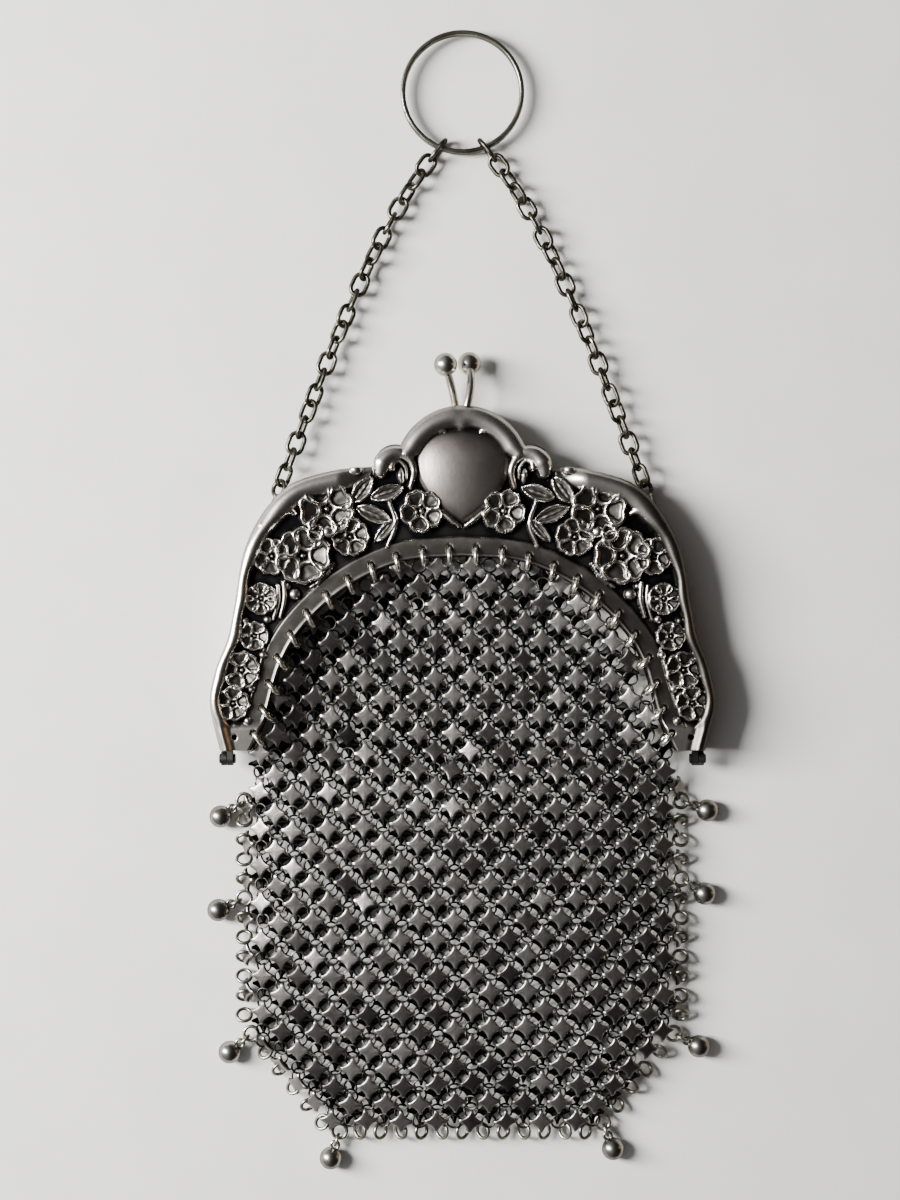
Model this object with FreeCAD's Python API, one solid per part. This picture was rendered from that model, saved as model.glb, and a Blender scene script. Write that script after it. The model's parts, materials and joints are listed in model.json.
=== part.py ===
import FreeCAD, Part
import math
import os

from FreeCAD import Vector

# Silver mesh evening bag on a finger ring, lying on its back.
# +X across the bag, +Y from the bag towards the finger ring, +Z up through the front.
# The origin is under the middle of the whole object, on the surface it lies on.
# All sizes are in millimetres.

# Frame halves. The front half is drawn; the back half is its mirror image in the parting plane.
PARTING_Z = 4.2
PARTING_GAP = 0.1
FRAME_TOP_Z = 8.4
FLANGE_LOW_Z = 6.3
FLANGE_TOP_Z = 6.9
RIM_WIDTH = 3.4
RIM_ROUND = 2.0
WALL = 1.0
FOOT_Y = -23.7
SHOULDER = (14.0, 21.3)
OUTER_SIDE = [SHOULDER, (20.5, 20.6), (27.2, 18.4), (31.8, 13.7), (34.6, 7.7), (35.8, 0.9),
              (37.0, -5.5), (39.2, -11.5), (39.9, -16.7), (38.4, FOOT_Y)]
MOUTH_SIDE = [(34.4, -25.5), (31.4, -19.0), (28.8, -10.0), (25.0, -3.8), (18.4, 2.1), (9.6, 6.2)]
MOUTH_TOP = (0.0, 7.1)
ARCH_CENTRE_Y = 20.1
ARCH_OUTER_R = 10.9
ARCH_TUBE_R = 1.8
ARCH_TUBE_Z = 6.4
SCROLL_AT = (10.7, 21.4)
SCROLL_R = 3.4
SCROLL_TOP_Z = 8.1

# Wild roses in relief: x, y and radius of each low boss on one side.
ROSES = [(21.5, 14.5, 4.2), (25.2, 7.3, 4.2), (30.6, 5.6, 2.1), (31.8, 0.2, 2.3), (6.3, 14.3, 3.4),
         (33.2, -5.8, 2.1), (35.1, -11.0, 2.9), (36.3, -16.2, 2.6)]
ROSE_TOP_Z = 8.0

# Cartouche: a domed shield on the field under the arch.
SHIELD_HALF_WIDTH = 7.4
SHIELD_TOP_Y = 26.8
SHIELD_POINT_Y = 12.4
SHIELD_SHOULDER_Y = 22.6
SHIELD_TOP_Z = 8.3
SHIELD_DOME_R = 26.0

# Kiss-lock clasp: the balls pass side by side.
BALL_R = 1.85
POST_R = 0.62
FRONT_BALL = Vector(1.1, 38.0, 3.0)
BACK_BALL = Vector(-2.7, 37.5, 6.1)
FRONT_POST = [Vector(0.4, 30.0, 6.4), Vector(1.3, 34.4, 6.0), Vector(1.1, 37.2, 3.9)]
BACK_POST = [Vector(-0.9, 30.0, 2.0), Vector(-1.7, 34.0, 2.8), Vector(-2.6, 36.9, 5.2)]

# Hinge at each foot, on an axis along X.
HINGE_Y = -25.2
LUG_R = 1.1
PIN_R = 0.45
PIN_CLEARANCE = 0.05
FRONT_LUG_X = (36.6, 37.5)
BACK_LUG_X = (37.6, 38.5)
LUG_DEPTH = 1.0
PIN_HEAD_R = 0.75
PIN_HEAD_LENGTH = 0.3

# Wire loops that hold the mesh to the flanges.
LOOPS_PER_HALF = 24
LOOP_R = 1.25
LOOP_WIRE_R = 0.38
LOOP_HOLE_R = 0.55
LOOP_LEAN = 0.8

# Mesh sheets, as plain thin solids.
SHEET = 0.8
MESH_GAP = 1.9
UPPER_FRONT_Z = 5.8
UPPER_BACK_Z = 0.8
UPPER_END_Y = -25.0
POUCH_TOP_Y = -29.6
POUCH_CORNER_Y = -68.0
POUCH_BOTTOM_Y = -84.8
POUCH_HALF_WIDTH = 34.6
POUCH_BOTTOM_HALF_WIDTH = 21.2
EDGE_Z = 1.8
EDGE_TURN = 3.0
POUCH_CROWN_Z = 7.0
POUCH_LOW_CROWN_Z = 3.4
CROWN_POWER = 3.0

# Edge rings and ball drops.
EDGE_RING_R = 1.15
EDGE_RING_WIRE_R = 0.28
EDGE_RING_OUT = 0.5
SIDE_RINGS = 12
CORNER_RINGS = 6
BOTTOM_RINGS = 13
RING_TILT = 42.0
JUMP_RING_R = 0.88
JUMP_WIRE_R = 0.27
EYE_R = 0.62
EYE_WIRE_R = 0.25
DROP_BALL_R = 1.8
RING_TO_JUMP = 1.45
JUMP_TO_EYE = 0.93
EYE_TO_BALL = 2.2

# Finger ring and chain.
FINGER_RING_Y = 81.7
FINGER_RING_Z = 1.9
FINGER_RING_OUTER_R = 9.95
FINGER_RING_INNER_R = 9.15
FINGER_RING_HEIGHT = 1.55
FINGER_RING_EDGE = 0.3
CHAIN_LINKS = 22
LINK_WIRE_R = 0.35
LINK_HALF_LENGTH = 1.75
LINK_HALF_WIDTH = 1.175
LINK_PITCH = 2.75
END_WIRE_R = 0.35
END_HALF_LENGTH = 2.05
END_HALF_WIDTH = 1.55
CHAIN_START_X = 3.6
BAND_TO_END_LINK = 0.6
END_TO_LINK = 3.05
LAST_LINK_TO_EYELET = 2.26
CHAIN_BOW = [Vector(13.6, 61.0, 1.7), Vector(20.4, 42.0, 2.2)]
CHAIN_FOOT = Vector(29.3, 18.3, 2.8)
FIRST_TWIST = 87.0
TWIST_STEP = 70.86
EYELET_R = 1.3
EYELET_WIRE_R = 0.35

X_AXIS = Vector(1, 0, 0)
Y_AXIS = Vector(0, 1, 0)
Z_AXIS = Vector(0, 0, 1)


# ---------------------------------------------------------------- helpers

def save(name, solids):
    shape = solids[0] if len(solids) == 1 else Part.makeCompound(solids)
    shape.exportStep(os.path.join("parts", name + ".step"))


def in_x_mirror(shape):
    return shape.mirror(Vector(0, 0, 0), X_AXIS)


def in_parting_mirror(shape):
    return shape.mirror(Vector(0, 0, PARTING_Z), Z_AXIS)


def both_sides(shape):
    return [shape, in_x_mirror(shape)]


def flat(points, z):
    return [Vector(x, y, z) for x, y in points]


def mirrored_points(points):
    return [(-x, y) for x, y in reversed(points)]


def spline(points):
    curve = Part.BSplineCurve()
    curve.interpolate(points)
    return curve.toShape()


def prism(edges, height):
    face = Part.Face(Part.Wire(edges))
    return face.extrude(Vector(0, 0, height))


def fused(shapes):
    return shapes[0].multiFuse(shapes[1:]).removeSplitter()


def ring(centre, axis, radius, wire_radius):
    return Part.makeTorus(radius, wire_radius, centre, axis)


def tube_along(edges, radius):
    path = Part.Wire(edges)
    start = edges[0].valueAt(edges[0].FirstParameter)
    heading = edges[0].tangentAt(edges[0].FirstParameter)
    section = Part.Wire(Part.makeCircle(radius, start, heading))
    return path.makePipeShell([section], True, True)


def moved_inward(points, distance):
    """The points of an open outline moved to its right-hand side, which is inward here."""
    result = []
    last = len(points) - 1
    for i, (x, y) in enumerate(points):
        x0, y0 = points[max(i - 1, 0)]
        x1, y1 = points[min(i + 1, last)]
        run = math.hypot(x1 - x0, y1 - y0)
        result.append((x + (y1 - y0) / run * distance, y - (x1 - x0) / run * distance))
    return result


# ---------------------------------------------------------------- frame half

def frame_outline(inset, z, foot_y):
    """The closed outer outline of a half, moved inward by inset and cut off at foot_y."""
    side = moved_inward(OUTER_SIDE, inset)
    side[0] = (SHOULDER[0], SHOULDER[1] - inset)
    side[-1] = (side[-1][0], foot_y)
    right = flat(side, z)
    left = flat(mirrored_points(side), z)
    return [spline(right), Part.makeLine(right[-1], left[0]), spline(left),
            Part.makeLine(left[-1], right[0])]


def mouth_points(inset, z):
    """Points along the mouth edge from the right foot to the left foot, moved into the mouth."""
    side = moved_inward([(x, y) for x, y in MOUTH_SIDE], -inset)
    return flat(side + [(0.0, MOUTH_TOP[1] - inset)] + mirrored_points(side), z)


def mouth_prism(inset, z, height, end_y):
    points = mouth_points(inset, z)
    right_end = Vector(points[0].x, end_y, z)
    left_end = Vector(points[-1].x, end_y, z)
    edges = [spline(points), Part.makeLine(points[-1], left_end),
             Part.makeLine(left_end, right_end), Part.makeLine(right_end, points[0])]
    return prism(edges, height)


def rounded_plate():
    """The solid outline of a half with its upper outer edge rounded over."""
    low_z = PARTING_Z + PARTING_GAP
    plate = prism(frame_outline(0.0, low_z, FOOT_Y), FRAME_TOP_Z - low_z)
    rim = [edge for edge in plate.Edges
           if edge.BoundBox.ZMin > FRAME_TOP_Z - 0.01 and edge.BoundBox.YLength > 1.0]
    return plate.makeFillet(RIM_ROUND, rim)


def rose_boss(x, y, radius):
    """A low dome that stands on the field, as high as a rose's petals."""
    rise = ROSE_TOP_Z - FLANGE_TOP_Z
    sphere_r = (radius ** 2 + rise ** 2) / (2.0 * rise)
    ball = Part.makeSphere(sphere_r, Vector(x, y, ROSE_TOP_Z - sphere_r))
    slab = Part.makeCylinder(radius, rise + 0.3, Vector(x, y, FLANGE_TOP_Z - 0.3))
    return ball.common(slab)


def scroll_boss():
    boss = Part.makeCylinder(SCROLL_R, SCROLL_TOP_Z - PARTING_Z - PARTING_GAP,
                             Vector(SCROLL_AT[0], SCROLL_AT[1], PARTING_Z + PARTING_GAP))
    top = [edge for edge in boss.Edges if edge.BoundBox.ZMin > SCROLL_TOP_Z - 0.01]
    return boss.makeFillet(1.2, top)


def arch_tube():
    """The round moulding over the cartouche, from one scroll to the other."""
    centre = Vector(0, ARCH_CENTRE_Y, ARCH_TUBE_Z)
    tube = ring(centre, Z_AXIS, ARCH_OUTER_R - ARCH_TUBE_R, ARCH_TUBE_R)
    upper = Part.makeBox(30, 15, 6, Vector(-15, ARCH_CENTRE_Y, PARTING_Z + PARTING_GAP))
    return tube.common(upper)


def loop_places():
    """Evenly spaced places on the mouth edge, each with the way its loop hangs into the mouth."""
    edge = spline(mouth_points(0.0, 0.0))
    places = []
    for i in range(LOOPS_PER_HALF):
        parameter = edge.getParameterByLength(edge.Length * (i + 1) / (LOOPS_PER_HALF + 1))
        heading = edge.tangentAt(parameter)
        inward = Vector(-heading.y, heading.x, 0)
        places.append((edge.valueAt(parameter), (inward - Y_AXIS * LOOP_LEAN).normalize()))
    return places


def loop_holes():
    """The holes in the flange, one outside the mouth edge for each loop."""
    holes = []
    for at, hang in loop_places():
        centre = at - hang * LOOP_R
        hole = Part.makeCylinder(LOOP_HOLE_R, 3.0, Vector(centre.x, centre.y, FLANGE_LOW_Z - 1.0))
        holes.append(hole)
    return holes


def frame_shell():
    low_z = PARTING_Z + PARTING_GAP
    centre = Vector(0, ARCH_CENTRE_Y, low_z)
    arch_plate = Part.makeCylinder(ARCH_OUTER_R - 0.6, FLANGE_TOP_Z - low_z, centre)
    plate = rounded_plate()
    field = prism(frame_outline(RIM_WIDTH, FLANGE_TOP_Z, FOOT_Y - 1.0), 3.0)
    arch_field = Part.makeCylinder(ARCH_OUTER_R - 1.0, 3.0,
                                   Vector(0, ARCH_CENTRE_Y, FLANGE_TOP_Z))
    plate = plate.cut(fused([field, arch_field]))
    bosses = [rose_boss(x * side, y, r) for x, y, r in ROSES for side in (1, -1)]
    body = fused([plate, arch_plate, arch_tube()] + both_sides(scroll_boss()) + bosses)
    hollow = prism(frame_outline(WALL, low_z - 1.0, FOOT_Y + WALL), FLANGE_LOW_Z - low_z + 1.0)
    arch_hollow = Part.makeCylinder(ARCH_OUTER_R - 0.6 - WALL, FLANGE_LOW_Z - low_z + 1.0,
                                    Vector(0, ARCH_CENTRE_Y, low_z - 1.0))
    mouth = mouth_prism(0.0, low_z - 1.0, 8.0, FOOT_Y - 4.0)
    shell = body.cut(fused([hollow, arch_hollow])).cut(mouth)
    return shell.cut(Part.makeCompound(loop_holes())).cut(cartouche())


def cartouche():
    """A shield with a rounded top and a pointed foot, domed on top."""
    z = FLANGE_TOP_Z
    half, shoulder = SHIELD_HALF_WIDTH, SHIELD_SHOULDER_Y
    right, left = Vector(half, shoulder, z), Vector(-half, shoulder, z)
    top = Part.Arc(right, Vector(0, SHIELD_TOP_Y, z), left).toShape()
    point = Vector(0, SHIELD_POINT_Y, z)
    left_side = Part.Arc(left, Vector(-half * 0.62, 16.3, z), point).toShape()
    right_side = Part.Arc(point, Vector(half * 0.62, 16.3, z), right).toShape()
    slab = prism([top, left_side, right_side], 3.0)
    dome = Part.makeSphere(SHIELD_DOME_R, Vector(0, 20.0, SHIELD_TOP_Z - SHIELD_DOME_R))
    return slab.common(dome)


# ---------------------------------------------------------------- hinge and clasp

def hinge_lug(x_range, bore_r):
    """A lug above the parting plane: a disc on the hinge axis and a stem to the foot."""
    low, high = x_range
    disc = Part.makeCylinder(LUG_R, high - low, Vector(low, HINGE_Y, PARTING_Z), X_AXIS)
    stem = Part.makeBox(high - low, FOOT_Y - HINGE_Y, LUG_DEPTH,
                        Vector(low, HINGE_Y, PARTING_Z + PARTING_GAP))
    bore = Part.makeCylinder(bore_r, 5.0, Vector(low - 2.0, HINGE_Y, PARTING_Z), X_AXIS)
    return fused([disc, stem]).cut(bore)


def hinge_pin():
    low = FRONT_LUG_X[0] - PIN_CLEARANCE - PIN_HEAD_LENGTH
    high = BACK_LUG_X[1] + PIN_HEAD_LENGTH
    shaft = Part.makeCylinder(PIN_R, high - low, Vector(low, HINGE_Y, PARTING_Z), X_AXIS)
    heads = [Part.makeCylinder(PIN_HEAD_R, PIN_HEAD_LENGTH, Vector(x, HINGE_Y, PARTING_Z), X_AXIS)
             for x in (low, high - PIN_HEAD_LENGTH)]
    return fused([shaft] + heads)


def clasp(post_points, ball_at, shell):
    """A curved post that starts on the arch, and the ball that is soldered to its end."""
    post = tube_along([spline(post_points)], POST_R).cut(shell)
    ball = Part.makeSphere(BALL_R, ball_at).cut(post)
    return post, ball


def mesh_loops(z):
    return [ring(Vector(at.x, at.y, z), hang.cross(Z_AXIS), LOOP_R, LOOP_WIRE_R)
            for at, hang in loop_places()]


# ---------------------------------------------------------------- mesh pouch

def pouch_half_width(y):
    if y > POUCH_CORNER_Y:
        return POUCH_HALF_WIDTH
    share = (POUCH_CORNER_Y - y) / (POUCH_CORNER_Y - POUCH_BOTTOM_Y)
    return POUCH_HALF_WIDTH + (POUCH_BOTTOM_HALF_WIDTH - POUCH_HALF_WIDTH) * share


def crown_height(y):
    """The height of the front sheet's outside on the middle line."""
    share = max(0.0, (-50.0 - y) / (-50.0 - POUCH_BOTTOM_Y))
    return POUCH_CROWN_Z + (POUCH_LOW_CROWN_Z - POUCH_CROWN_Z) * share ** 2


def pouch_section(y, inset):
    """One closed cross-section: a flat back, upturned edges and a crowned front."""
    half = pouch_half_width(y) - inset
    crown = crown_height(y) - inset
    top = []
    for i in range(9):
        turn = math.pi * i / 8.0
        x = math.cos(turn)
        rise = (1.0 - abs(x) ** CROWN_POWER) ** (1.0 / CROWN_POWER)
        top.append(Vector(half * x, y, EDGE_Z + (crown - EDGE_Z) * rise))
    rise = EDGE_Z - inset
    foot_x = half - EDGE_TURN
    radius = (EDGE_TURN ** 2 + rise ** 2) / (2.0 * rise)
    half_turn = math.asin(EDGE_TURN / radius) / 2.0
    turn_x = foot_x + radius * math.sin(half_turn)
    turn_z = inset + radius * (1.0 - math.cos(half_turn))
    right = Part.Arc(Vector(foot_x, y, inset), Vector(turn_x, y, turn_z), top[0]).toShape()
    left = Part.Arc(top[-1], Vector(-turn_x, y, turn_z), Vector(-foot_x, y, inset)).toShape()
    base = Part.makeLine(Vector(-foot_x, y, inset), Vector(foot_x, y, inset))
    return Part.Wire([spline(top), left, base, right])


def pillow(inset, top_y, bottom_y):
    stations = [top_y, -50.0, POUCH_CORNER_Y, -76.5, bottom_y]
    return Part.makeLoft([pouch_section(y, inset) for y in stations], True, True)


def pouch_halves():
    """The front sheet below the mouth, and the back sheet with its panel up to the back arch."""
    shell = pillow(0.0, POUCH_TOP_Y, POUCH_BOTTOM_Y).cut(
        pillow(SHEET, POUCH_TOP_Y + 1.0, POUCH_BOTTOM_Y + SHEET))
    above = Part.makeBox(90, 70, 10, Vector(-45, -90, EDGE_Z))
    below = Part.makeBox(90, 70, 10, Vector(-45, -90, EDGE_Z - 10))
    front = shell.common(above)
    panel = mouth_prism(MESH_GAP, UPPER_BACK_Z - 0.2, SHEET - 0.1, POUCH_TOP_Y - 2.0)
    back = fused([shell.common(below), panel])
    return front, back


def upper_front_panel():
    panel = mouth_prism(MESH_GAP, UPPER_FRONT_Z, SHEET - 0.1, POUCH_TOP_Y)
    keep = Part.makeBox(90, 60, 10, Vector(-45, UPPER_END_Y, 0))
    return panel.common(keep)


# ---------------------------------------------------------------- edge rings and drops

def edge_ring_places():
    """Ring centres and outward directions from the right foot round the bottom to the left foot."""
    out = POUCH_HALF_WIDTH + EDGE_RING_OUT
    top = Vector(out, POUCH_TOP_Y - 1.0, EDGE_Z)
    corner = Vector(out, POUCH_CORNER_Y - 0.2, EDGE_Z)
    low = Vector(POUCH_BOTTOM_HALF_WIDTH + 0.2, POUCH_BOTTOM_Y - EDGE_RING_OUT, EDGE_Z)
    stretches = [(top, corner, SIDE_RINGS), (corner, low, CORNER_RINGS),
                 (low, Vector(-low.x, low.y, EDGE_Z), BOTTOM_RINGS),
                 (Vector(-low.x, low.y, EDGE_Z), Vector(-corner.x, corner.y, EDGE_Z), CORNER_RINGS),
                 (Vector(-corner.x, corner.y, EDGE_Z), Vector(-top.x, top.y, EDGE_Z), SIDE_RINGS)]
    places = []
    for start, end, count in stretches:
        heading = (end - start).normalize()
        outward = Vector(-heading.y, heading.x, 0)
        for i in range(count):
            places.append((start + (end - start) * ((i + 0.5) / count), outward, heading))
    return places


def turned(direction, degrees):
    angle = math.radians(degrees)
    return Vector(direction.x * math.cos(angle) - direction.y * math.sin(angle),
                  direction.x * math.sin(angle) + direction.y * math.cos(angle), 0)


# Each drop hangs on one edge ring (its place in the order above) and leans off square.
DROPS = {"right_top": (0, -20.0), "right_upper": (4, -32.0), "right_low": (12, 12.0),
         "right_bottom": (17, -30.0), "left_bottom": (30, -18.0), "left_low": (36, 2.0),
         "left_upper": (43, 25.0), "left_top": (48, 34.0)}


def drop_direction(name):
    index, lean = DROPS[name]
    outward = edge_ring_places()[index][1]
    return turned(outward, lean)


def edge_rings(first, last):
    carriers = [index for index, lean in DROPS.values()]
    rings = []
    for i, (at, outward, heading) in enumerate(edge_ring_places()):
        if not first <= i < last:
            continue
        tilt = 0.0 if i in carriers else RING_TILT * (1 if i % 2 else -1)
        axis = Z_AXIS * math.cos(math.radians(tilt)) + heading * math.sin(math.radians(tilt))
        rings.append(ring(at, axis, EDGE_RING_R, EDGE_RING_WIRE_R))
    return rings


def drop_jump_ring(name):
    at = edge_ring_places()[DROPS[name][0]][0]
    out = drop_direction(name)
    return ring(at + out * RING_TO_JUMP, out.cross(Z_AXIS), JUMP_RING_R, JUMP_WIRE_R)


def drop_ball(name):
    at = edge_ring_places()[DROPS[name][0]][0]
    out = drop_direction(name)
    eye_at = at + out * (RING_TO_JUMP + JUMP_TO_EYE)
    eye = ring(eye_at, Z_AXIS, EYE_R, EYE_WIRE_R)
    ball = Part.makeSphere(DROP_BALL_R, eye_at + out * EYE_TO_BALL)
    neck = Part.makeCylinder(0.3, 0.5, eye_at + out * (EYE_R + 0.05), out)
    return fused([ball, neck, eye])


# ---------------------------------------------------------------- finger ring and chain

def finger_ring():
    low = Vector(0, FINGER_RING_Y, FINGER_RING_Z - FINGER_RING_HEIGHT / 2.0)
    band = Part.makeCylinder(FINGER_RING_OUTER_R, FINGER_RING_HEIGHT, low)
    band = band.cut(Part.makeCylinder(FINGER_RING_INNER_R, FINGER_RING_HEIGHT, low))
    rims = [edge for edge in band.Edges if edge.BoundBox.ZLength < 0.01]
    return band.makeFillet(FINGER_RING_EDGE, rims)


def chain_stations():
    """Centres of the links on the right side, from the finger ring down, then the eyelet's."""
    band_r = (FINGER_RING_OUTER_R + FINGER_RING_INNER_R) / 2.0
    start_y = FINGER_RING_Y - math.sqrt(band_r ** 2 - CHAIN_START_X ** 2)
    start = Vector(CHAIN_START_X, start_y, FINGER_RING_Z)
    curve = Part.BezierCurve()
    curve.setPoles([start] + CHAIN_BOW + [CHAIN_FOOT])
    steps = [BAND_TO_END_LINK, END_TO_LINK] + [LINK_PITCH] * (CHAIN_LINKS - 2)
    steps.append(LAST_LINK_TO_EYELET)
    stations, parameter, at = [], 0.0, start
    for step in steps:
        while (curve.value(min(parameter, 1.0)) - at).Length < step and parameter < 1.2:
            parameter += 0.0002
        heading = (curve.value(min(parameter, 1.0)) - at).normalize()
        at = at + heading * step
        stations.append(at)
    return stations


def twisted_side(heading, twist):
    """Square to the chain's direction: level at no twist, and upright at 90 degrees."""
    level = heading.cross(Z_AXIS).normalize()
    upright = level.cross(heading)
    turn = math.radians(twist)
    return level * math.cos(turn) + upright * math.sin(turn)


def oval_link(centre, heading, twist, half_length, half_width, wire_r):
    """A closed oval of round wire. The twist turns its plane about the chain's direction."""
    side = twisted_side(heading, twist)
    run = heading * (half_length - half_width)
    corners = [centre + run + side * half_width, centre + heading * half_length,
               centre + run - side * half_width, centre - run - side * half_width,
               centre - heading * half_length, centre - run + side * half_width]
    edges = [Part.Arc(corners[0], corners[1], corners[2]).toShape(),
             Part.makeLine(corners[2], corners[3]),
             Part.Arc(corners[3], corners[4], corners[5]).toShape(),
             Part.makeLine(corners[5], corners[0])]
    section = Part.Wire(Part.makeCircle(wire_r, corners[5], run))
    path = Part.Wire([edges[3], edges[0], edges[1], edges[2]])
    return path.makePipeShell([section], True, True)


def chain_link(number, stations):
    """Link 1 is the larger one round the finger ring."""
    centre = stations[number - 1]
    before = stations[number - 2] if number > 1 else None
    after = stations[number]
    heading = (after - (before if before else centre)).normalize()
    twist = FIRST_TWIST + TWIST_STEP * (number - 1)
    if number == 1:
        return oval_link(centre, heading, twist, END_HALF_LENGTH, END_HALF_WIDTH, END_WIRE_R)
    return oval_link(centre, heading, twist, LINK_HALF_LENGTH, LINK_HALF_WIDTH, LINK_WIRE_R)


def chain_eyelet(stations, shell):
    """A small ring, square to the last link, with a short stem into the rim."""
    centre = stations[-1]
    heading = (stations[-1] - stations[-2]).normalize()
    last_twist = FIRST_TWIST + TWIST_STEP * (CHAIN_LINKS - 1)
    loop = ring(centre, twisted_side(heading, last_twist), EYELET_R, EYELET_WIRE_R)
    inward = Vector(heading.x, heading.y, 0).normalize()
    stem = Part.makeCylinder(0.4, 2.2, centre + inward * (EYELET_R - 0.1), inward)
    return fused([loop, stem]).cut(shell)


# ---------------------------------------------------------------- build

def build():
    os.makedirs("parts", exist_ok=True)
    front_shell = frame_shell()
    back_shell = in_parting_mirror(front_shell)
    shield = cartouche()
    save("front_frame_shell", [front_shell])
    save("back_frame_shell", [back_shell])
    save("front_cartouche", [shield])
    save("back_cartouche", [in_parting_mirror(shield)])

    for half, points, ball_at, shell in (("front", FRONT_POST, FRONT_BALL, front_shell),
                                         ("back", BACK_POST, BACK_BALL, back_shell)):
        post, ball = clasp(points, ball_at, shell)
        save(half + "_clasp_post", [post])
        save(half + "_clasp_ball", [ball])

    save("front_hinge_lugs", both_sides(hinge_lug(FRONT_LUG_X, PIN_R + PIN_CLEARANCE)))
    back_lug = in_parting_mirror(hinge_lug(BACK_LUG_X, PIN_R))
    save("back_hinge_lugs", both_sides(back_lug))
    save("hinge_pins", both_sides(hinge_pin()))

    loop_z = (FLANGE_LOW_Z + FLANGE_TOP_Z) / 2.0
    save("front_mesh_loops", mesh_loops(loop_z))
    save("back_mesh_loops", mesh_loops(2.0 * PARTING_Z - loop_z))

    lower_front, back_sheet = pouch_halves()
    save("front_mesh_upper", [upper_front_panel()])
    save("front_mesh_lower", [lower_front])
    save("back_mesh", [back_sheet])
    side_count = SIDE_RINGS + CORNER_RINGS
    save("right_edge_rings", edge_rings(0, side_count))
    save("bottom_edge_rings", edge_rings(side_count, side_count + BOTTOM_RINGS))
    save("left_edge_rings", edge_rings(side_count + BOTTOM_RINGS, 2 * side_count + BOTTOM_RINGS))
    for name in DROPS:
        save("drop_ring_" + name, [drop_jump_ring(name)])
        save("drop_ball_" + name, [drop_ball(name)])

    stations = chain_stations()
    save("finger_ring", [finger_ring()])
    for number in range(1, CHAIN_LINKS + 1):
        save("chain_links_%02d" % number, both_sides(chain_link(number, stations)))
    save("chain_eyelets", both_sides(chain_eyelet(stations, back_shell)))


build()
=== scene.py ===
import json
import math
import random

import bpy
import numpy as np
from mathutils import Matrix, Vector

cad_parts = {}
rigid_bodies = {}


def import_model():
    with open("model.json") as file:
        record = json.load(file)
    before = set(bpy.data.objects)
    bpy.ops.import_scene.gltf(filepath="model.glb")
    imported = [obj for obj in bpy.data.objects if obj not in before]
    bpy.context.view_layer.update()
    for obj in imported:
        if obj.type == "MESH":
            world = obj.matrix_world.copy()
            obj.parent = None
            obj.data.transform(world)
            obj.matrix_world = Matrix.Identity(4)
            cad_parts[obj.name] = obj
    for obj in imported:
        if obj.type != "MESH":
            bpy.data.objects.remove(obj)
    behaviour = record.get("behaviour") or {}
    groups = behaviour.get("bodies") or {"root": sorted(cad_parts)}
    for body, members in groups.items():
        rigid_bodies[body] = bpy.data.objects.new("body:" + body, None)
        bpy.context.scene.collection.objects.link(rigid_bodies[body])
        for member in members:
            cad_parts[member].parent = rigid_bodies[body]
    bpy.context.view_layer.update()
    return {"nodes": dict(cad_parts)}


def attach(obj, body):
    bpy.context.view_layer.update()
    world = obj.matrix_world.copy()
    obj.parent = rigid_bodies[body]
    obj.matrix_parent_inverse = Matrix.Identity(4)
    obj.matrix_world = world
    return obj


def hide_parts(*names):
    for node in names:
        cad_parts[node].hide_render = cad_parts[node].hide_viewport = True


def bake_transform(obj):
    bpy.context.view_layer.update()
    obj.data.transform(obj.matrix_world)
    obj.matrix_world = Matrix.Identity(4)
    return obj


# Looks of a silver mesh evening bag: an embossed frame, a skin of star plates and wire rings,
# ball drops, and a chain handle on a finger ring. Lengths in this script are in millimetres
# until a mesh is made, when they become metres.
MM = 0.001

# Frame half, seen from the front, right side. The left side is its mirror image.
PARTING_Z = 4.2
WALL_LOW_Z = 4.3
WALL = 1.0
UNDERSIDE_Z = 6.3
RECESS_Z = 6.5
FLANGE_Z = 6.9
RIM_TOP_Z = 8.4
FOOT_Y = -23.7
OUTER_SIDE = [(38.4, FOOT_Y), (39.9, -16.7), (39.2, -11.5), (37.0, -5.5), (35.8, 0.9), (34.6, 7.7),
              (31.8, 13.7), (27.2, 18.4), (20.5, 20.6), (14.0, 21.3)]
MOUTH_SIDE = [(34.4, -25.5), (31.4, -19.0), (28.8, -10.0), (25.0, -3.8), (18.4, 2.1), (9.6, 6.2),
              (0.0, 7.1)]
ARCH_Y = 20.1
ARCH_OUTER_R = 10.9
ARCH_TUBE_R = 1.85
ARCH_TOP_Z = 8.25
SCROLL_X, SCROLL_Y, SCROLL_R = 10.7, 21.4, 3.4
FLANGE_WIDTH = 3.3
FLANGE_STEP_WIDTH = 0.4
FLANGE_BEAD_Z = 0.22
SHOULDER_RIM_HALF_WIDTH = 1.65
SIDE_RIM_HALF_WIDTH = 0.85
RIM_DIP_AT_SCROLL = 1.3
WALL_BEND_Z = 5.2
FOOT_TAB_Z = 7.6
FOOT_HOLE_X, FOOT_HOLE_Y = 36.1, -21.6

# Wire loops along the mouth: how many, how far from their middle they pass through the flange,
# and the radius of the dent round them.
LOOP_COUNT = 24
LOOP_REACH = 1.25
LOOP_DENT_R = 0.42
LOOP_DENT_DEPTH = 0.4

# Domed shield of the cartouche.
SHIELD_SIDE = [(0.0, 27.4), (4.6, 26.5), (7.3, 23.4), (7.2, 19.9), (5.1, 16.2), (2.3, 13.7),
               (0.0, 12.2)]
SHIELD_MIDDLE_Y = 20.6
SHIELD_TOP_Z = 8.32
SHIELD_BOTTOM_Z = 6.6
SHIELD_DOME = 44.0
SHIELD_WEAR = 0.55

# Grid of a frame half: columns along the outline and rows across it.
COLUMNS = 960
ROWS = 92

# A height below everything, where a stamped shape leaves the metal as it is.
UNTOUCHED_Z = -9.0

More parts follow.
